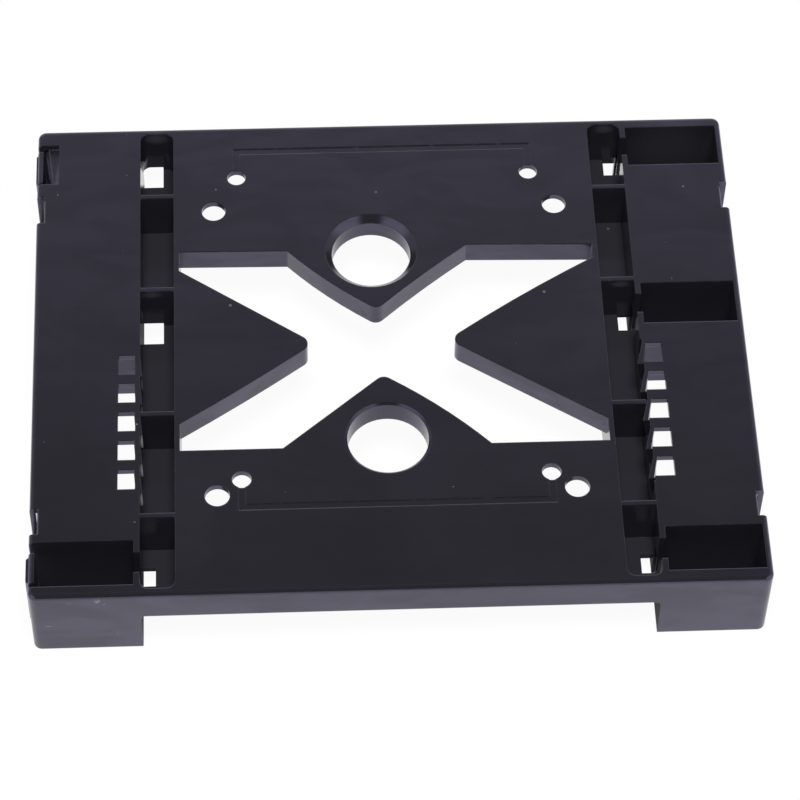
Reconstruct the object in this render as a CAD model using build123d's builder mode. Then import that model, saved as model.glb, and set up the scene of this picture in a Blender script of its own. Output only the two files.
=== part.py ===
"""Drive bay adapter bracket, moulded in one piece.

A ribbed tray that fills a wide drive bay. Two hollow runners carry it, a narrow drive hangs
between them, and the deck takes a small drive or a fan. The bracket stands on its runners,
with the deck on top, +Y to the rear and the origin under its middle.
"""

import os

from build123d import *

# Standard interfaces
bay_width = 146.05
bay_clearance = 0.2
drive_width = 101.6
drive_clearance = 0.3
drive_base_inset = 3.175
drive_screw_span = 101.6
drive_screw_mid = 41.6
fan_hole_spacing = 71.5
fan_hole_radius = 2.5
small_drive_spacing_x = 61.72
small_drive_spacing_y = 76.6
small_drive_y = 6.3
small_drive_hole_radius = 1.95

# Body
body_height = 19.0
corner_radius = 1.7
top_edge_radius = 1.0
deck = 1.5
side_wall = 1.2
end_wall = 2.6
skirt_wall = 1.6
skirt_height = 7.75
skirt_corner_radius = 0.8

# Screw channels along the deck
channel_depth = 12.0
channel_floor = 1.4
channel_wall = 1.05
channel_end_radius = 1.8
channel_ramp = 4.4
channel_rib = 1.0
channel_rib_inner = 15.6
channel_rib_outer = 40.0

# Open pockets and their screw slots
pocket_length = 10.2
pocket_floor = 1.4
slot_width = 4.6
slot_window_width = 2.7
slot_window_near = 1.8
slot_window_far = 6.2
slot_groove_height = 4.0
slot_skin = 0.4
slot_post = 0.4
peg_window_width = 4.4
peg_window_near = 1.2
peg_window_length = 6.6
peg_window_rise = 0.9

# Window ladders with snap teeth
ladder_y = -17.35
ladder_spacing = 7.0
ladder_count = 5
window_length = 4.65
window_reach = 4.4
tooth_leaf = 1.1
tooth_tip = 1.05
tooth_overrun = 0.6
tooth_depth = 5.3
tooth_relief = 0.3
right_tooth_rise = 1.05
left_tooth_rise = 0.5

# Crossed cut-out in the deck
cross_rear = 24.8
cross_rear_left = 25.15
cross_rear_right = 25.45
cross_front = -24.8
cross_x = -1.9
cross_tip_radius = 2.0
cross_rear_half = 18.7
cross_front_half = 20.6
cross_front_right_half = 21.2
cross_rear_tip_x = -2.4
cross_rear_tip = 9.2
cross_front_tip = -7.4
cross_left_tip = -15.5
cross_right_tip = 11.7
cross_side_y = 1.0
cross_left_half = 19.3
cross_right_half = 20.5
cross_rear_left_bow = 0.75
cross_rear_right_bow = 0.33
cross_right_bow = 0.55
cross_front_bow = 0.85
cross_left_bow = 0.3
rim_depth = 5.45
rim_wall = 1.5

# Cable holes
cable_hole_radius = 8.2
rear_hole_x = -3.1
rear_hole_y = 24.5
rear_hole_sink = 1.4
front_hole_x = -1.4
front_hole_y = -22.75
front_hole_sink = 0.5

# Frame grooves beside the small drive's holes
groove_width = 1.4
groove_depth = 0.2
groove_rear_offset = 7.0
groove_front_offset = 6.6

# Screw notches in the runners' outer walls
notch_rear_y = 37.25
notch_span = 78.0
notch_rear_width = 7.0
notch_front_width = 5.9
notch_depth = 12.2
notch_reach = 0.4
notch_chamfer = 0.3

# Spring tabs of the left runner
tab_root = 4.0
tab_front_y = -51.5
tab_front_length = 6.8
tab_front_bulge = 0.5
tab_rear_y = 48.6
tab_rear_length = 8.4
tab_rear_bulge = 0.3
tab_bulge_margin = 0.4
tab_recess_y = 49.2
tab_recess_length = 10.4
tab_recess_width = 3.3
tab_spring = 0.5
tab_spring_drop = 2.1
tab_spring_rear = 0.7
tab_spring_front = 2.3
tab_spring_bow = 0.5

# Places that follow from the sizes above
body_width = bay_width - 2 * bay_clearance
body_depth = drive_screw_span + pocket_length + 2 * end_wall
half_width = body_width / 2
half_depth = body_depth / 2
bay_half = drive_width / 2 + drive_clearance
runner_in = bay_half + side_wall
runner_out = half_width - side_wall
runner_x = (runner_in + runner_out) / 2
runner_width = runner_out - runner_in
channel_x = drive_width / 2 - drive_base_inset
channel_width = 2 * (bay_half - channel_x)
channel_in = channel_x - channel_width / 2
cross_half = channel_in - channel_wall
channel_end = half_depth - skirt_wall
deck_under = body_height - deck
skirt_z = body_height - skirt_height
floor_z = body_height - channel_depth
trough_z = floor_z - channel_floor
row_rear = drive_screw_span / 2
row_mid = row_rear - drive_screw_mid
row_front = -drive_screw_span / 2
half_pocket = pocket_length / 2
hollow_end = half_depth - end_wall
mid_rib = row_mid - half_pocket
right_rib = row_rear - half_pocket
left_rib = tab_recess_y - tab_recess_length / 2
deck_plane = Plane.XY.offset(body_height)
past = 1.0


def span(x_low, x_high, y_low, y_high):
    """Draws the rectangle between two corners."""
    with Locations(((x_low + x_high) / 2, (y_low + y_high) / 2)):
        Rectangle(x_high - x_low, y_high - y_low)


# The cut-out's four tips, and the corners beside them, where its bowed edges start
rear_tip = (cross_rear_tip_x, cross_rear_tip)
front_tip = (cross_x, cross_front_tip)
left_tip = (cross_left_tip, cross_side_y)
right_tip = (cross_right_tip, cross_side_y)
rear_left_corner = (cross_x - cross_rear_half, cross_rear)
rear_right_corner = (cross_x + cross_rear_half, cross_rear_right)
front_right_corner = (cross_x + cross_front_right_half, cross_front)
front_left_corner = (cross_x - cross_front_half, cross_front)
right_rear_corner = (cross_half, cross_side_y + cross_right_half)
left_front_corner = (-cross_half, cross_side_y - cross_left_half)
with BuildSketch() as cross:
    with BuildLine():
        SagittaArc(rear_left_corner, rear_tip, -cross_rear_left_bow)
        SagittaArc(rear_tip, rear_right_corner, cross_rear_right_bow)
        Polyline(rear_right_corner, (cross_half, cross_rear), right_rear_corner)
        SagittaArc(right_rear_corner, right_tip, -cross_right_bow)
        Polyline(
            right_tip,
            (cross_half, cross_side_y - cross_right_half),
            (cross_half, cross_front),
            front_right_corner,
        )
        SagittaArc(front_right_corner, front_tip, -cross_front_bow)
        Polyline(front_tip, front_left_corner, (-cross_half, cross_front), left_front_corner)
        SagittaArc(left_front_corner, left_tip, -cross_left_bow)
        Polyline(
            left_tip,
            (-cross_half, cross_side_y + cross_left_half),
            (-cross_half, cross_rear_left),
            rear_left_corner,
        )
    make_face()
    fillet(cross.vertices().sort_by_distance((cross_x, cross_side_y))[:4], cross_tip_radius)

# One leaf of each ladder: its root is in the wall and its tip stands in the channel
leaf_root = window_length / 2
leaf_tip = -window_length / 2 - tooth_overrun
leaf_back = bay_half + tooth_leaf

# A right leaf leans over, and its foot is level with the wall
with BuildPart() as right_leaf:
    with BuildSketch(deck_plane):
        Polygon(
            (bay_half + tooth_relief, leaf_root),
            (bay_half - right_tooth_rise, leaf_tip),
            (bay_half - right_tooth_rise + tooth_tip, leaf_tip),
            (leaf_back, leaf_root),
            align=None,
        )
    with BuildSketch(deck_plane.offset(-tooth_depth)):
        Polygon(
            (bay_half + tooth_relief, leaf_root),
            (bay_half, leaf_tip),
            (leaf_back, leaf_tip),
            (leaf_back, leaf_root),
            align=None,
        )
    loft(ruled=True)

# A left leaf stands upright
with BuildPart() as left_leaf:
    with BuildSketch(deck_plane):
        Polygon(
            (-bay_half, leaf_root),
            (-leaf_back, leaf_root),
            (-leaf_back + left_tooth_rise / 2, leaf_tip),
            (-bay_half + left_tooth_rise, leaf_tip),
            align=None,
        )
    extrude(amount=-tooth_depth)

with BuildPart() as bracket:
    # Outer block with rounded corners and a softened top edge
    with BuildSketch():
        RectangleRounded(body_width, body_depth, corner_radius)
    extrude(amount=body_height)
    fillet(bracket.faces().sort_by(Axis.Z)[-1].edges(), top_edge_radius)

    # Drive bay between the runners, stepped round the channel troughs
    with BuildSketch():
        Rectangle(2 * bay_half, body_depth + 2 * past)
    extrude(amount=trough_z, mode=Mode.SUBTRACT)
    with BuildSketch():
        Rectangle(2 * cross_half, body_depth + 2 * past)
    extrude(amount=skirt_z, mode=Mode.SUBTRACT)

    # Hollow under the deck, inside the front and rear skirts
    with BuildSketch():
        Rectangle(2 * cross_half, 2 * channel_end)
    extrude(amount=deck_under, mode=Mode.SUBTRACT)

    # Collars round the cut-out and the cable holes
    with BuildSketch(deck_plane):
        add(cross.sketch)
        offset(amount=rim_wall)
        with Locations((rear_hole_x, rear_hole_y), (front_hole_x, front_hole_y)):
            Circle(cable_hole_radius + rim_wall)
    extrude(amount=-rim_depth)

    # Hollow runners, open below, with cross walls beside the pockets and the rear tab
    front_pocket_end = row_front + half_pocket + side_wall
    mid_pocket_end = row_mid + half_pocket + side_wall
    with BuildSketch():
        span(runner_in, runner_out, front_pocket_end, mid_rib - side_wall)
        span(runner_in, runner_out, mid_pocket_end, right_rib - side_wall)
        span(-runner_out, -runner_in, front_pocket_end, mid_rib - side_wall)
        span(-runner_out, -runner_in, mid_rib, left_rib - side_wall)
        span(-runner_out, -runner_in, left_rib, hollow_end)
    extrude(amount=deck_under, mode=Mode.SUBTRACT)

    # Screw channels, cut between their cross ribs
    with BuildSketch(deck_plane):
        with Locations((channel_x, 0), (-channel_x, 0)):
            RectangleRounded(channel_width, 2 * channel_end, channel_end_radius)
            with GridLocations(0, 2 * channel_rib_outer, 1, 2):
                Rectangle(channel_width, channel_rib, mode=Mode.SUBTRACT)
            with GridLocations(0, 2 * channel_rib_inner, 1, 2):
                Rectangle(channel_width, channel_rib, mode=Mode.SUBTRACT)
    extrude(amount=-channel_depth, mode=Mode.SUBTRACT)

    # Ramp at each channel's front end
    for side in (1, -1):
        with BuildSketch(Plane.YZ.offset(side * channel_x - channel_width / 2)):
            with BuildLine():
                Polyline(
                    (-channel_end, skirt_z + channel_floor),
                    (-channel_end, floor_z),
                    (-channel_end + channel_ramp, floor_z),
                    close=True,
                )
            make_face()
        extrude(amount=channel_width)

    # Lead-in under the ramps, rounded where it meets the runners
    with BuildSketch(Plane.YZ.offset(-bay_half)):
        with BuildLine():
            Polyline(
                (-half_depth, skirt_z),
                (-half_depth - past, skirt_z),
                (-half_depth - past, trough_z),
                (-half_depth + channel_ramp, trough_z),
                close=True,
            )
        make_face()
    extrude(amount=2 * bay_half, mode=Mode.SUBTRACT)
    lead_in_y = -half_depth + channel_ramp / 2
    lead_in_z = (skirt_z + trough_z) / 2
    lead_in_corners = [
        bracket.edges().sort_by_distance((side * bay_half, lead_in_y, lead_in_z))[0]
        for side in (1, -1)
    ]
    fillet(lead_in_corners, skirt_corner_radius)

    # Open pockets down to their floors, each with a screw slot towards its channel
    pockets = ((1, row_rear), (1, row_mid), (1, row_front), (-1, row_front))
    with BuildSketch(deck_plane):
        for side, row in pockets:
            with Locations((side * runner_x, row)):
                Rectangle(runner_width, pocket_length)
    extrude(amount=pocket_floor - body_height, mode=Mode.SUBTRACT)
    with BuildSketch(deck_plane):
        for side, row in pockets:
            with Locations((side * (bay_half + side_wall / 2), row)):
                Rectangle(side_wall, slot_width)
    extrude(amount=-channel_depth, mode=Mode.SUBTRACT)

    # Window in the channel's floor beside each slot
    window_y = (slot_window_near + slot_window_far) / 2
    with BuildSketch(Plane.XY.offset(trough_z)):
        for side, row in pockets:
            with Locations((side * (bay_half - slot_window_width / 2), row + window_y)):
                Rectangle(slot_window_width, slot_window_far - slot_window_near)
    extrude(amount=channel_floor, mode=Mode.SUBTRACT)

    # Groove in the wall behind each of those windows, with a thin post left standing in it
    groove_depth_x = side_wall - slot_skin
    groove_near = slot_width / 2
    with BuildSketch():
        for side, row in pockets:
            with Locations((side * (bay_half + groove_depth_x / 2), row + (groove_near + slot_window_far) / 2)):
                Rectangle(groove_depth_x, slot_window_far - groove_near)
            with Locations((side * (bay_half + slot_post / 2), row + groove_near + slot_post / 2)):
                Rectangle(slot_post, slot_post, mode=Mode.SUBTRACT)
    extrude(amount=floor_z + slot_groove_height, mode=Mode.SUBTRACT)

    # Windows in the left channel's floor, where that side has no pockets, cut up into the walls behind
    with BuildSketch(Plane.XY.offset(trough_z)):
        for row in (row_rear, row_mid):
            low = row + peg_window_near
            span(-bay_half, -bay_half + peg_window_width, low, low + peg_window_length)
    extrude(amount=channel_floor + peg_window_rise, mode=Mode.SUBTRACT)

    # Cut-out, cable holes and screw holes
    with BuildSketch(deck_plane):
        add(cross.sketch)
    extrude(amount=-rim_depth, mode=Mode.SUBTRACT)
    with Locations(deck_plane):
        with Locations((rear_hole_x, rear_hole_y)):
            CounterSinkHole(cable_hole_radius, cable_hole_radius + rear_hole_sink, counter_sink_angle=90)
        with Locations((front_hole_x, front_hole_y)):
            CounterSinkHole(cable_hole_radius, cable_hole_radius + front_hole_sink, counter_sink_angle=90)
        with GridLocations(fan_hole_spacing, fan_hole_spacing, 2, 2):
            Hole(fan_hole_radius)
        with Locations((0, small_drive_y)):
            with GridLocations(small_drive_spacing_x, small_drive_spacing_y, 2, 2):
                Hole(small_drive_hole_radius)

    # Window ladders through the deck and the wall, a relief in the right wall, and the leaves
    window_x = bay_half + window_reach / 2
    wall_x = bay_half + side_wall / 2
    with BuildSketch(deck_plane):
        with Locations((window_x, ladder_y), (-window_x, ladder_y)):
            with GridLocations(0, ladder_spacing, 1, ladder_count):
                Rectangle(window_reach, window_length)
    extrude(amount=-deck, mode=Mode.SUBTRACT)
    with BuildSketch(deck_plane):
        with Locations((wall_x, ladder_y), (-wall_x, ladder_y)):
            with GridLocations(0, ladder_spacing, 1, ladder_count):
                Rectangle(side_wall, window_length)
        with Locations((bay_half + tooth_relief / 2, ladder_y)):
            Rectangle(tooth_relief, ladder_count * ladder_spacing)
    extrude(amount=-tooth_depth, mode=Mode.SUBTRACT)
    with Locations((0, ladder_y)):
        with GridLocations(0, ladder_spacing, 1, ladder_count):
            add(right_leaf.part)
            add(left_leaf.part)

    # Screw notches with round bottoms through the outer walls, a little way into the deck, whose
    # edge is chamfered there
    notch_in = runner_out - notch_reach
    notches = (
        (notch_rear_y, notch_rear_width / 2),
        (notch_rear_y - notch_span, notch_front_width / 2),
    )
    for side in (1, -1):
        with BuildSketch(Plane.YZ.offset(side * notch_in)):
            for notch_y, notch_radius in notches:
                notch_z = body_height - notch_depth + notch_radius
                with Locations((notch_y, notch_z)):
                    Circle(notch_radius)
                span(notch_y - notch_radius, notch_y + notch_radius, notch_z, body_height + past)
        extrude(amount=side * (notch_reach + side_wall + past), mode=Mode.SUBTRACT)
    notch_edges = [
        bracket.edges().sort_by_distance((side * notch_in, notch_y, body_height))[0]
        for side in (1, -1)
        for notch_y, notch_radius in notches
    ]
    chamfer(notch_edges, notch_chamfer)

    # Spring tabs in the left outer wall, freed by slits above their roots
    tab_recess_rear = left_rib + tab_recess_length
    with BuildSketch(Plane.XY.offset(tab_root)):
        for low, high in (
            (row_front - half_pocket, tab_front_y - tab_front_length / 2),
            (tab_front_y + tab_front_length / 2, row_front + half_pocket),
            (left_rib, tab_rear_y - tab_rear_length / 2),
            (tab_rear_y + tab_rear_length / 2, tab_recess_rear),
        ):
            span(-half_width - past, -runner_out, low, high)
    extrude(amount=body_height, mode=Mode.SUBTRACT)
    with BuildSketch(deck_plane):
        span(-runner_out, -runner_out + tab_recess_width, left_rib, tab_recess_rear)
    extrude(amount=-deck, mode=Mode.SUBTRACT)

    # Bulge on the outside of each tab
    tabs = (
        (tab_front_y, tab_front_length, tab_front_bulge),
        (tab_rear_y, tab_rear_length, tab_rear_bulge),
    )
    with BuildSketch(Plane.XY.offset(tab_root + tab_bulge_margin)):
        for tab_y, tab_length, bulge in tabs:
            bulge_half = tab_length / 2 - tab_bulge_margin
            with BuildLine():
                Polyline(
                    (-half_width, tab_y - bulge_half),
                    (-half_width, tab_y + bulge_half),
                    (-half_width - bulge, tab_y + bulge_half - bulge),
                    (-half_width - bulge, tab_y - bulge_half + bulge),
                    close=True,
                )
            make_face()
    extrude(amount=body_height - tab_root - tab_bulge_margin - top_edge_radius)

    # Bowed spring leaf behind the rear tab
    spring_rear_x = -runner_out + tab_spring_rear
    spring_front_x = -runner_out + tab_spring_front
    spring_mid_x = (spring_rear_x + spring_front_x) / 2 - tab_spring_bow
    with BuildSketch():
        with BuildLine():
            ThreePointArc(
                (spring_rear_x, hollow_end + tab_spring),
                (spring_mid_x, (hollow_end + left_rib) / 2),
                (spring_front_x, left_rib - tab_spring),
            )
        trace(line_width=tab_spring)
    extrude(amount=body_height - tab_spring_drop)

    # Shallow grooves that frame the small drive's holes
    groove_x = small_drive_spacing_x / 2
    hole_rear = small_drive_y + small_drive_spacing_y / 2
    hole_front = small_drive_y - small_drive_spacing_y / 2
    with BuildSketch(deck_plane):
        for hole_y, groove_y in (
            (hole_rear, hole_rear + groove_rear_offset),
            (hole_front, hole_front - groove_front_offset),
        ):
            with Locations((0, groove_y)):
                Rectangle(small_drive_spacing_x + groove_width, groove_width)
            with Locations((groove_x, (hole_y + groove_y) / 2), (-groove_x, (hole_y + groove_y) / 2)):
                Rectangle(groove_width, abs(groove_y - hole_y))
    extrude(amount=-groove_depth, mode=Mode.SUBTRACT)

os.makedirs("parts", exist_ok=True)
bracket.part.label = "bay_adapter_bracket"
export_step(bracket.part, "parts/bay_adapter_bracket.step")
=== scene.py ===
import math

import bpy
from mathutils import Euler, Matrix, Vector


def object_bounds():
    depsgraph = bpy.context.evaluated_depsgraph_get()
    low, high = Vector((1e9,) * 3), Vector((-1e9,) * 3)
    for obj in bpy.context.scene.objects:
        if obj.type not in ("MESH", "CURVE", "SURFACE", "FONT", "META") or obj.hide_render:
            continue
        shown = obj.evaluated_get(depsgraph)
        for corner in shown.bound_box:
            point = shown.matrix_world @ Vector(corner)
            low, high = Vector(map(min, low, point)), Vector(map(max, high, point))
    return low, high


bl_info = {
    "name": "Drive Bay Bracket Finish",
    "version": (1, 0, 0),
    "blender": (4, 5, 0),
    "location": "3D View > Sidebar > Bay Bracket",
    "description": "Gives a moulded drive bay bracket its plastic and puts it in a studio",
    "category": "Object",
}

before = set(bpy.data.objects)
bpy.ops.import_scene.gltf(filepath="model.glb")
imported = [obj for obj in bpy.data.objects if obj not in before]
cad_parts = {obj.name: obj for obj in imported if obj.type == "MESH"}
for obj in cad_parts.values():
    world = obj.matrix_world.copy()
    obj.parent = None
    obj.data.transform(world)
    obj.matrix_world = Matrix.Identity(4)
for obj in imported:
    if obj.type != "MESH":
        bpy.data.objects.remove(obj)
CAD_LOW, CAD_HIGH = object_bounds()
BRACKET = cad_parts["bay_adapter_bracket"]

# Rubbed spots on the front wall: centre and half size across and up in metres, and strength
RUBBED_SPOTS = (
    ((-0.0593, 0.0172), (0.0009, 0.0012), 1.0),
    ((-0.0580, 0.0161), (0.0004, 0.0004), 1.0),
    ((-0.0692, 0.0084), (0.0012, 0.0003), 1.0),
    ((-0.0716, 0.0165), (0.0004, 0.0004), 0.8),
    ((-0.0648, 0.0168), (0.0004, 0.0004), 0.8),
    ((-0.0560, 0.0052), (0.0003, 0.0018), 0.6),
    ((0.0392, 0.0114), (0.0036, 0.0003), 1.0),
)
RUB_DEPTH = 0.0010

# Painted light: pale patches where light catches the tops of the channel ends, and a lighter
# patch in the right rear pocket: centre and half size in metres, and strength
PAINTED_LIGHT_PATCHES = (
    ((-0.0478, 0.0570, 0.0174), (0.0036, 0.0014, 0.0022), 0.30),
    ((-0.0488, 0.0151, 0.0177), (0.0028, 0.0010, 0.0014), 0.28),
    ((0.0480, 0.0570, 0.0174), (0.0028, 0.0014, 0.0019), 0.30),
    ((0.0484, 0.0151, 0.0177), (0.0028, 0.0010, 0.0014), 0.28),
    ((0.0620, 0.0570, 0.0120), (0.0160, 0.0030, 0.0120), 0.16),
)

# Painted glints on the tips of the left snap teeth, from the front one to the rear
TOOTH_SPACING = 0.0070
FRONT_TOOTH_GLINT = (-0.0507, -0.0344, 0.0158)
TOOTH_GLINT_HALF = (0.0006, 0.0010, 0.0036)
TOOTH_GLINT_STRENGTHS = (1.0, 1.0, 1.0, 0.3, 0.2)

# Floors of the screw channels, in metres: where each starts and ends across, and half its length
CHANNEL_INNER = 0.0430
CHANNEL_OUTER = 0.0535
CHANNEL_HALF_LENGTH = 0.0590
CHANNEL_BLUR = 0.0015

# Heights in metres: between the first two the colour turns from the sunk floors to the deck, which is
# painted darker as shade, and the dull floors gain the deck's gloss between the last two
SUNK_TOP = 0.0100
DECK_SKIN = 0.0185
DULL_TOP = 0.0150
GLOSS_BOTTOM = 0.0175

# How fine the marks in the plastic are, in repeats per metre
FLOW_SCALE = 38.0
GRAIN_SCALE = 5200.0
EDGE_HIGHLIGHT_AND_RUB_SCALE = 420.0
RAGGED_SCALE = 1500.0
DUST_SCALE = 62.0
STREAK_SCALE = (45.0, 110.0, 150.0)

# How strong the marks in the plastic are
FLOW_SHARE = 0.7
GRAIN_SHARE = 0.3
GRAIN_STRENGTH = 0.5
# Strength of the pale edge lines: painted highlights with some wear
EDGE_HIGHLIGHT_AND_RUB = 0.30
WEAR_AND_PAINTED_LIGHT_ROUGHNESS = 0.2
STREAK_LEVELS = (0.82, 1.12)
PATCH_CORE = 0.2

# Dust: the share of cells with none, the largest speck against its cell, and how pale specks are
DUST_FREE = 0.40
LARGEST_SPECK = 0.019
SPECK_LEVELS = (0.2, 0.8)

# Upward part of a face's direction, from which the face counts as a floor or a deck
LOOKS_UP = 0.9
BEVEL_SAMPLES = 8

# Brightness of the room behind the table, from straight up (0) down to the horizon (1)
REAR_ROOM = (
    (0.14, 0.0),
    (0.18, 0.26),
    (0.27, 0.26),
    (0.31, 0.0),
    (0.375, 0.0),
    (0.392, 0.02),
    (0.42, 0.18),
    (0.448, 0.36),
    (0.49, 0.60),
    (0.545, 0.85),
    (1.0, 0.95),
)

# Parts of a direction between which the room's light changes: from front to rear, to the rear
# corners, to the sides, down from overhead, and along the sides from the rear to the front
REAR_FADE = (-0.05, 0.20)
REAR_CORNER_FADE = (0.25, 0.60)
SIDE_FADE = (0.25, 0.50)
OVERHEAD_FADE = (0.95, 0.60)
SIDE_FRONT_FADE = (0.20, -0.25)
REAR_CORNER_LEVEL = 0.4
SIDE_REAR_LEVEL = 0.35
LEAST_RISE = 0.001

# Table, in metres, and the share of its own light in what the camera and the gloss see
TABLE_HALF = 3.0
TABLE_GAP = 0.00005
TABLE_PAINT = (0.9, 0.9, 0.9, 1.0)
TABLE_ROUGHNESS = 0.8
TABLE_GLOW = 0.95

# Camera: width of the sensor in millimetres, and the nearest distance in metres
SENSOR_WIDTH = 36.0
NEAREST = 0.01

BLACK = (0.0, 0.0, 0.0, 1.0)
WHITE = (1.0, 1.0, 1.0, 1.0)


class BracketPlastic(bpy.types.PropertyGroup):
    """Colour and surface of the moulding, with painted light and shade in the colour."""

    colour: bpy.props.FloatVectorProperty(
        name="Colour",
        description="Colour of the plastic where it is clean",
        subtype="COLOR",
        size=4,
        min=0.0,
        max=1.0,
        default=(0.0215, 0.0207, 0.0262, 1.0),
    )
    pale_colour: bpy.props.FloatVectorProperty(
        name="Pale colour",
        description="Colour of the plastic where handling and moulding have dulled it",
        subtype="COLOR",
        size=4,
        min=0.0,
        max=1.0,
        default=(0.0229, 0.0221, 0.0276, 1.0),
    )
    # Also the colour of the painted edge highlights and the painted light patches
    wear_and_painted_light_colour: bpy.props.FloatVectorProperty(
        name="Worn colour",
        description="Colour of rubbed edges, rubbed spots and dust",
        subtype="COLOR",
        size=4,
        min=0.0,
        max=1.0,
        default=(0.15, 0.145, 0.165, 1.0),
    )
    # Painted highlight: pale glints on the tips of the left snap teeth
    tip_glint_colour: bpy.props.FloatVectorProperty(
        name="Tip colour",
        description="Colour of the pale tips of the left snap teeth",
        subtype="COLOR",
        size=4,
        min=0.0,
        max=1.0,
        default=(0.55, 0.54, 0.57, 1.0),
    )
    # Painted shade: the deck is painted darker than the sunk floors
    deck_painted_shade: bpy.props.FloatProperty(
        name="Deck depth",
        description="How much darker the deck is than the sunk floors",
        subtype="FACTOR",
        min=0.0,
        max=1.0,
        default=0.27,
    )
    sheen_tint: bpy.props.FloatVectorProperty(
        name="Gloss tint",
        description="Tint of the reflections on the satin face",
        subtype="COLOR",
        size=4,
        min=0.0,
        max=1.0,
        default=(0.68, 0.63, 1.0, 1.0),
    )
    sheen_ior: bpy.props.FloatProperty(
        name="Index of refraction",
        description="Index of refraction of the glossy skin",
        min=1.0,
        default=1.9,
    )
    gloss: bpy.props.FloatProperty(
        name="Gloss",
        description="Strength of the reflections on the satin face",
        subtype="FACTOR",
        min=0.0,
        max=1.0,
        default=0.39,
    )
    floor_gloss: bpy.props.FloatProperty(
        name="Floor gloss",
        description="Strength of the reflections on the sunk floors",
        subtype="FACTOR",
        min=0.0,
        max=1.0,
        default=0.10,
    )
    smooth_roughness: bpy.props.FloatProperty(
        name="Least roughness",
        description="Roughness of the shiniest patches",
        subtype="FACTOR",
        min=0.0,
        max=1.0,
        default=0.13,
    )
    matt_roughness: bpy.props.FloatProperty(
        name="Most roughness",
        description="Roughness of the dullest patches",
        subtype="FACTOR",
        min=0.0,
        max=1.0,
        default=0.19,
    )
    edge_radius: bpy.props.FloatProperty(
        name="Edge radius",
        description="Softening of the moulded edges",
        subtype="DISTANCE",
        unit="LENGTH",
        min=0.0,
        default=0.0003,
    )
    grain_depth: bpy.props.FloatProperty(
        name="Grain depth",
        description="Depth of the fine grain of the mould",
        subtype="DISTANCE",
        unit="LENGTH",
        min=0.0,
        default=0.000004,
    )


class BracketStage(bpy.types.PropertyGroup):
    """Table, light and camera of the studio."""

    camera_place: bpy.props.FloatVectorProperty(
        name="Camera place",
        description="Where the camera stands",
        subtype="XYZ",
        unit="LENGTH",
        default=(-0.023692, -0.412028, 0.587472),
    )
    camera_turn: bpy.props.FloatVectorProperty(
        name="Camera turn",
        description="How the camera is turned about X, Y and Z",
        subtype="EULER",
        default=(math.radians(35.0582), math.radians(-0.8717), math.radians(-2.356)),
    )
    camera_angle: bpy.props.FloatProperty(
        name="Field of view",
        description="Angle across the square picture",
        subtype="ANGLE",
        default=math.radians(13.2657),
    )
    rear_light: bpy.props.FloatProperty(
        name="Rear light",
        description="Brightness of the room behind the table",
        min=0.0,
        default=1.0,
    )
    side_light: bpy.props.FloatProperty(
        name="Side light",
        description="Brightness of the room at the front left and front right",
        min=0.0,
        default=1.2,
    )
    fill: bpy.props.FloatProperty(
        name="Fill",
        description="Share of the room's light that falls on dull faces",
        subtype="FACTOR",
        min=0.0,
        max=1.0,
        default=0.2,
    )
    lamp_power: bpy.props.FloatProperty(
        name="Lamp power",
        description="Power of the soft lamp over the table",
        unit="POWER",
        min=0.0,
        default=26.0,
    )
    lamp_size: bpy.props.FloatProperty(
        name="Lamp size",
        description="Width of the soft lamp",
        subtype="DISTANCE",
        unit="LENGTH",
        min=0.0,
        default=0.5,
    )
    lamp_place: bpy.props.FloatVectorProperty(
        name="Lamp place",
        description="Where the soft lamp hangs",
        subtype="XYZ",
        unit="LENGTH",
        default=(0.0, -0.42, 1.5),
    )
    shade: bpy.props.FloatProperty(
        name="Shade",
        description="Brightness of the table where it lies in shade under the screw channels",
        subtype="FACTOR",
        min=0.0,
        max=1.0,
        default=0.1,
    )


class NodeMaker:
    """Adds nodes to a node tree and links them."""

    def __init__(self, tree):
        self.tree = tree

    def put(self, value, socket):
        """Links a value that is a socket, and sets any other on the input."""
        if isinstance(value, bpy.types.NodeSocket):
            self.tree.links.new(value, socket)
        else:
            socket.default_value = value

    def add(self, kind, inputs=(), **settings):
        """Adds a node with its inputs and settings."""
        node = self.tree.nodes.new(kind)
        for name, value in settings.items():
            setattr(node, name, value)
        for key, value in dict(inputs).items():
            self.put(value, node.inputs[key])
        return node

    def math(self, operation, first, second=0.0):
        """Adds a math node and returns its result."""
        return self.add("ShaderNodeMath", {0: first, 1: second}, operation=operation).outputs[0]

    def parts(self, vector):
        """Splits a vector into X, Y and Z."""
        return self.add("ShaderNodeSeparateXYZ", {"Vector": vector}).outputs

    def ramp(self, value, low, high, start=0.0, end=1.0):
        """Maps a value smoothly from one range to another."""
        inputs = {
            "Value": value,
            "From Min": low,
            "From Max": high,
            "To Min": start,
            "To Max": end,
        }
        return self.add("ShaderNodeMapRange", inputs, interpolation_type="SMOOTHSTEP").outputs["Result"]

    def steps(self, value, points):
        """Maps a value through a row of (place, level) points."""
        node = self.add("ShaderNodeValToRGB", {"Fac": value})
        stops = node.color_ramp.elements
        while len(stops) < len(points):
            stops.new(1.0)
        for stop, (place, level) in zip(stops, points):
            stop.position = place
            stop.color = (level, level, level, 1.0)
        return node.outputs["Color"]

    def noise(self, place, scale, detail, roughness=0.5, distortion=0.0):
        """Adds a noise and returns its value."""
        inputs = {
            "Vector": place,
            "Scale": scale,
            "Detail": detail,
            "Roughness": roughness,
            "Distortion": distortion,
        }
        return self.add("ShaderNodeTexNoise", inputs).outputs["Fac"]

    def blend(self, share, first, second):
        """Mixes two colours."""
        node = self.add("ShaderNodeMix", {"Factor": share}, data_type="RGBA")
        for key, value in (("A", first), ("B", second)):
            self.put(value, [s for s in node.inputs if s.name == key and s.type == "RGBA"][0])
        return [s for s in node.outputs if s.type == "RGBA"][0]


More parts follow.
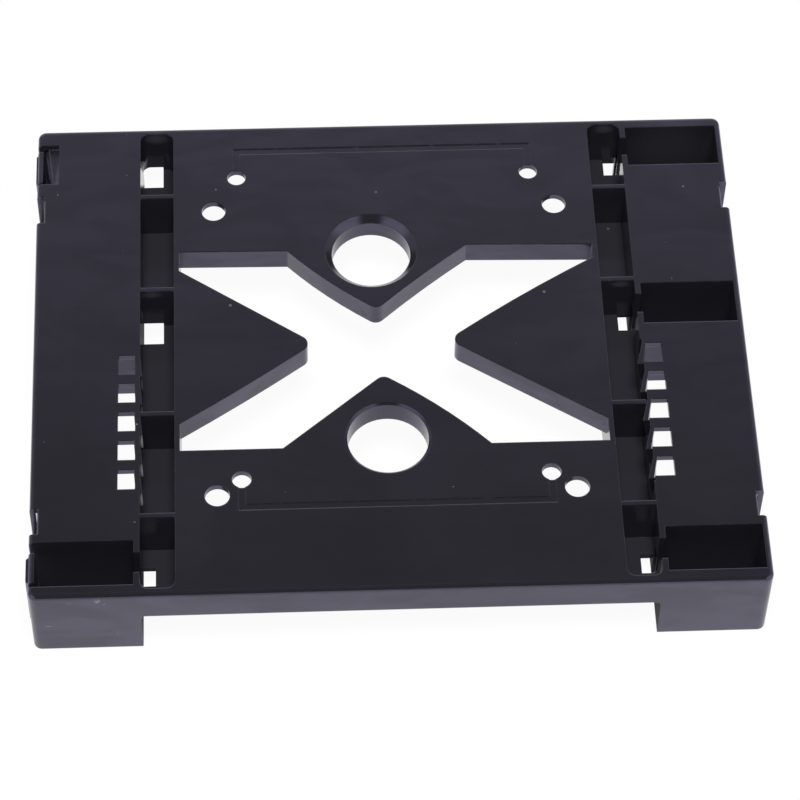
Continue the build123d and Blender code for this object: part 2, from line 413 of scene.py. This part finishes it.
class BRACKET_OT_plastic(bpy.types.Operator):
    """Gives the moulding its satin black plastic, with painted light and shade in its colour"""

    bl_idname = "bracket.plastic"
    bl_label = "Satin black plastic"

    def execute(self, context):
        look = context.scene.bracket_plastic
        material = bpy.data.materials.new("satin_black_plastic")
        material.use_nodes = True
        maker = NodeMaker(material.node_tree)
        place = maker.add("ShaderNodeTexCoord").outputs["Object"]
        facing = maker.add("ShaderNodeNewGeometry").outputs["True Normal"]
        height = maker.parts(place)["Z"]
        up = maker.parts(facing)["Z"]
        rounded = maker.add(
            "ShaderNodeBevel", {"Radius": look.edge_radius}, samples=BEVEL_SAMPLES
        ).outputs[0]
        flow = maker.noise(place, FLOW_SCALE, detail=4.0, roughness=0.55, distortion=0.8)
        grain = maker.noise(place, GRAIN_SCALE, detail=2.0)

        # Pale marks: real dust and rubbed spots, with painted highlights along the edges and painted
        # light patches
        wear_and_painted_light = self.edge_highlights_and_rub(maker, place, facing, rounded)
        for mark in (
            self.dust(maker, place, up),
            self.rubbed_spots(maker, place),
            self.patches(maker, place, PAINTED_LIGHT_PATCHES),
        ):
            wear_and_painted_light = maker.math("MAXIMUM", wear_and_painted_light, mark)

        paleness = maker.math(
            "ADD",
            maker.math("MULTIPLY", maker.ramp(flow, 0.35, 0.70), FLOW_SHARE),
            maker.math("MULTIPLY", grain, GRAIN_SHARE),
        )
        colour = maker.blend(paleness, look.colour, look.pale_colour)
        # Painted shade: the deck is painted darker than the sunk floors
        deck_shade = maker.ramp(height, SUNK_TOP, DECK_SKIN, 0.0, look.deck_painted_shade)
        colour = maker.blend(deck_shade, colour, BLACK)
        colour = maker.blend(wear_and_painted_light, colour, look.wear_and_painted_light_colour)
        # Painted glints on the tips of the left snap teeth
        tips = self.patches(maker, place, self.tooth_tip_glints())
        colour = maker.blend(tips, colour, look.tip_glint_colour)

        roughness = maker.ramp(flow, 0.30, 0.75, look.smooth_roughness, look.matt_roughness)
        roughness = maker.math("ADD", roughness, maker.math("MULTIPLY", wear_and_painted_light, WEAR_AND_PAINTED_LIGHT_ROUGHNESS))
        bump = maker.add(
            "ShaderNodeBump",
            {
                "Strength": GRAIN_STRENGTH,
                "Distance": look.grain_depth,
                "Height": grain,
                "Normal": rounded,
            },
        ).outputs[0]

        shader = material.node_tree.nodes["Principled BSDF"]
        for name, value in (
            ("Base Color", colour),
            ("Roughness", roughness),
            ("Normal", bump),
            ("IOR", look.sheen_ior),
            ("Specular IOR Level", self.gloss(maker, look, place, height, up)),
            ("Specular Tint", look.sheen_tint),
        ):
            maker.put(value, shader.inputs[name])
        BRACKET.data.materials.clear()
        BRACKET.data.materials.append(material)
        return {"FINISHED"}

    def edge_highlights_and_rub(self, maker, place, facing, rounded):
        """Makes pale lines along the moulded edges: painted highlights with uneven wear."""
        flatness = maker.add(
            "ShaderNodeVectorMath", {0: rounded, 1: facing}, operation="DOT_PRODUCT"
        ).outputs["Value"]
        uneven = maker.noise(place, EDGE_HIGHLIGHT_AND_RUB_SCALE, detail=3.0)
        highlight_and_rub = maker.ramp(uneven, 0.50, 0.75, 0.0, EDGE_HIGHLIGHT_AND_RUB)
        return maker.math("MULTIPLY", maker.ramp(flatness, 0.98, 0.80), highlight_and_rub)

    def dust(self, maker, place, up):
        """Makes scattered specks on the faces that look up."""
        cells = maker.add(
            "ShaderNodeTexVoronoi",
            {"Vector": place, "Scale": DUST_SCALE, "Randomness": 1.0},
            voronoi_dimensions="2D",
        )
        chance = maker.add("ShaderNodeSeparateColor", {"Color": cells.outputs["Color"]}).outputs
        size = maker.ramp(chance["Red"], DUST_FREE, 1.0, 0.0, LARGEST_SPECK)
        speck = maker.math("LESS_THAN", cells.outputs["Distance"], size)
        speck = maker.math("MULTIPLY", speck, maker.math("GREATER_THAN", up, LOOKS_UP))
        level = maker.ramp(chance["Green"], 0.0, 1.0, *SPECK_LEVELS)
        return maker.math("MULTIPLY", speck, level)

    def rubbed_spots(self, maker, place):
        """Makes the ragged spots of the front wall."""
        ragged = maker.ramp(maker.noise(place, RAGGED_SCALE, detail=4.0), 0.38, 0.55)
        spots = [
            ((x, CAD_LOW.y, z), (half_x, RUB_DEPTH, half_z), strength)
            for (x, z), (half_x, half_z), strength in RUBBED_SPOTS
        ]
        return maker.math("MULTIPLY", self.patches(maker, place, spots), ragged)

    def tooth_tip_glints(self):
        """Lists the painted glints on the tips of the left snap teeth."""
        x, y, z = FRONT_TOOTH_GLINT
        return tuple(
            ((x, y + row * TOOTH_SPACING, z), TOOTH_GLINT_HALF, strength)
            for row, strength in enumerate(TOOTH_GLINT_STRENGTHS)
        )

    def patches(self, maker, place, spots):
        """Makes soft spots, each with a centre, a half size and a strength."""
        total = 0.0
        for centre, half, strength in spots:
            moved = maker.add(
                "ShaderNodeMapping",
                {"Vector": place, "Location": centre, "Scale": half},
                vector_type="TEXTURE",
            ).outputs[0]
            reach = maker.add("ShaderNodeVectorMath", {0: moved}, operation="LENGTH").outputs["Value"]
            total = maker.math("MAXIMUM", maker.ramp(reach, 1.0, PATCH_CORE, 0.0, strength), total)
        return total

    def gloss(self, maker, look, place, height, up):
        """Makes the gloss: streaked by the flow of the melt, and dull on the sunk floors."""
        flat = maker.ramp(up, 0.6, LOOKS_UP)
        sunk = maker.math("MULTIPLY", flat, maker.ramp(height, GLOSS_BOTTOM, DULL_TOP))
        level = maker.ramp(sunk, 0.0, 1.0, look.gloss, look.floor_gloss)
        stretched = maker.add("ShaderNodeMapping", {"Vector": place, "Scale": STREAK_SCALE}).outputs[0]
        streak = maker.noise(stretched, 1.0, detail=5.0, roughness=0.6, distortion=1.0)
        return maker.math("MULTIPLY", level, maker.ramp(streak, 0.38, 0.62, *STREAK_LEVELS))


class BRACKET_OT_stage(bpy.types.Operator):
    """Sets the table, the soft light and the camera"""

    bl_idname = "bracket.stage"
    bl_label = "Studio table"

    def execute(self, context):
        scene = context.scene
        stage = scene.bracket_stage
        scene.view_settings.view_transform = "Standard"
        self.add_camera(scene, stage)
        self.add_table(scene, stage)
        self.add_room(scene, stage)
        self.add_lamp(scene, stage)
        return {"FINISHED"}

    def add_camera(self, scene, stage):
        """Sets up the camera and looks through it."""
        data = bpy.data.cameras.new("studio_camera")
        data.sensor_fit = "AUTO"
        data.sensor_width = SENSOR_WIDTH
        data.lens = SENSOR_WIDTH / 2 / math.tan(stage.camera_angle / 2)
        data.clip_start = NEAREST
        camera = bpy.data.objects.new("studio_camera", data)
        camera.location = stage.camera_place
        camera.rotation_euler = Euler(stage.camera_turn, "XYZ")
        scene.collection.objects.link(camera)
        scene.camera = camera

    def add_table(self, scene, stage):
        """Lays a wide table top just under the runners."""
        corners = [(-1, -1), (1, -1), (1, 1), (-1, 1)]
        mesh = bpy.data.meshes.new("table_top")
        points = [(x * TABLE_HALF, y * TABLE_HALF, 0.0) for x, y in corners]
        mesh.from_pydata(points, [], [(0, 1, 2, 3)])
        mesh.materials.append(self.white_table(stage))
        table = bpy.data.objects.new("table_top", mesh)
        table.location.z = CAD_LOW.z - TABLE_GAP
        scene.collection.objects.link(table)

    def white_table(self, stage):
        """Makes a table that is white to look at, shaded under the channels and clear from below."""
        material = bpy.data.materials.new("white_table")
        material.use_nodes = True
        maker = NodeMaker(material.node_tree)
        paint = material.node_tree.nodes["Principled BSDF"]
        paint.inputs["Base Color"].default_value = TABLE_PAINT
        paint.inputs["Roughness"].default_value = TABLE_ROUGHNESS
        path = maker.add("ShaderNodeLightPath").outputs
        axis = maker.parts(maker.add("ShaderNodeTexCoord").outputs["Object"])
        across = maker.math("ABSOLUTE", axis["X"])
        along = maker.math("ABSOLUTE", axis["Y"])
        under = 1.0
        for edge in (
            maker.ramp(across, CHANNEL_INNER, CHANNEL_INNER + CHANNEL_BLUR),
            maker.ramp(across, CHANNEL_OUTER, CHANNEL_OUTER - CHANNEL_BLUR),
            maker.ramp(along, CHANNEL_HALF_LENGTH, CHANNEL_HALF_LENGTH - CHANNEL_BLUR),
        ):
            under = maker.math("MULTIPLY", edge, under)
        shaded = maker.ramp(under, 0.0, 1.0, 1.0, stage.shade)
        white = maker.math("MAXIMUM", path["Is Camera Ray"], shaded)
        glow = maker.add("ShaderNodeEmission", {"Strength": white}).outputs[0]
        seen = maker.math("MAXIMUM", path["Is Camera Ray"], path["Is Glossy Ray"])
        share = maker.math("MULTIPLY", seen, TABLE_GLOW)
        top = maker.add("ShaderNodeMixShader", {0: share, 1: paint.outputs[0], 2: glow}).outputs[0]
        below = maker.add("ShaderNodeNewGeometry").outputs["Backfacing"]
        clear = maker.add("ShaderNodeBsdfTransparent").outputs[0]
        surface = maker.add("ShaderNodeMixShader", {0: below, 1: top, 2: clear}).outputs[0]
        maker.put(surface, material.node_tree.nodes["Material Output"].inputs["Surface"])
        return material

    def add_room(self, scene, stage):
        """Makes the light of the room: soft behind the table, and stronger at the front sides."""
        world = bpy.data.worlds.new("studio_room")
        world.use_nodes = True
        scene.world = world
        maker = NodeMaker(world.node_tree)
        axis = maker.parts(maker.add("ShaderNodeTexCoord").outputs["Generated"])
        path = maker.add("ShaderNodeLightPath").outputs

        rearward = maker.math("MAXIMUM", axis["Y"], 0.0)
        upward = maker.math("MAXIMUM", axis["Z"], LEAST_RISE)
        slope = maker.math("DIVIDE", rearward, maker.math("ADD", rearward, upward))
        behind = maker.ramp(axis["Y"], *REAR_FADE, 0.0, stage.rear_light)
        rear = maker.math("MULTIPLY", maker.steps(slope, REAR_ROOM), behind)
        across = maker.math("ABSOLUTE", axis["X"])
        corner = maker.ramp(across, *REAR_CORNER_FADE, 1.0, REAR_CORNER_LEVEL)
        rear = maker.math("MULTIPLY", rear, corner)

        sideways = maker.ramp(across, *SIDE_FADE, 0.0, stage.side_light)
        low = maker.ramp(axis["Z"], *OVERHEAD_FADE)
        front = maker.ramp(axis["Y"], *SIDE_FRONT_FADE, SIDE_REAR_LEVEL, 1.0)
        side = maker.math("MULTIPLY", maker.math("MULTIPLY", sideways, low), front)

        level = maker.math("MAXIMUM", rear, side)
        fill = maker.ramp(path["Is Diffuse Ray"], 0.0, 1.0, 1.0, stage.fill)
        level = maker.math("MULTIPLY", level, fill)
        level = maker.math("MAXIMUM", level, path["Is Camera Ray"])
        room = world.node_tree.nodes["Background"]
        room.inputs["Color"].default_value = WHITE
        maker.put(level, room.inputs["Strength"])

    def add_lamp(self, scene, stage):
        """Hangs the soft lamp over the table, turned to the bracket."""
        data = bpy.data.lights.new("soft_lamp", "AREA")
        data.shape = "DISK"
        data.size = stage.lamp_size
        data.energy = stage.lamp_power
        lamp = bpy.data.objects.new("soft_lamp", data)
        lamp.location = stage.lamp_place
        lamp.rotation_euler = (-lamp.location).to_track_quat("-Z", "Y").to_euler()
        lamp.visible_glossy = False
        scene.collection.objects.link(lamp)


class BRACKET_PT_panel(bpy.types.Panel):
    """Lists the bracket's finish and stage"""

    bl_idname = "BRACKET_PT_panel"
    bl_label = "Bay Bracket"
    bl_space_type = "VIEW_3D"
    bl_region_type = "UI"
    bl_category = "Bay Bracket"

    def draw(self, context):
        layout = self.layout
        for group in (context.scene.bracket_plastic, context.scene.bracket_stage):
            for name in group.__annotations__:
                layout.prop(group, name)
        layout.operator(BRACKET_OT_plastic.bl_idname)
        layout.operator(BRACKET_OT_stage.bl_idname)


CLASSES = (BracketPlastic, BracketStage, BRACKET_OT_plastic, BRACKET_OT_stage, BRACKET_PT_panel)


def register():
    """Makes the bracket's settings, operators and panel known to Blender."""
    for cls in CLASSES:
        bpy.utils.register_class(cls)
    bpy.types.Scene.bracket_plastic = bpy.props.PointerProperty(type=BracketPlastic)
    bpy.types.Scene.bracket_stage = bpy.props.PointerProperty(type=BracketStage)


def unregister():
    """Takes them away again."""
    del bpy.types.Scene.bracket_stage
    del bpy.types.Scene.bracket_plastic
    for cls in reversed(CLASSES):
        bpy.utils.unregister_class(cls)


def main():
    """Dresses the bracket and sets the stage."""
    register()
    bpy.ops.bracket.plastic()
    bpy.ops.bracket.stage()


if __name__ == "__main__":
    main()
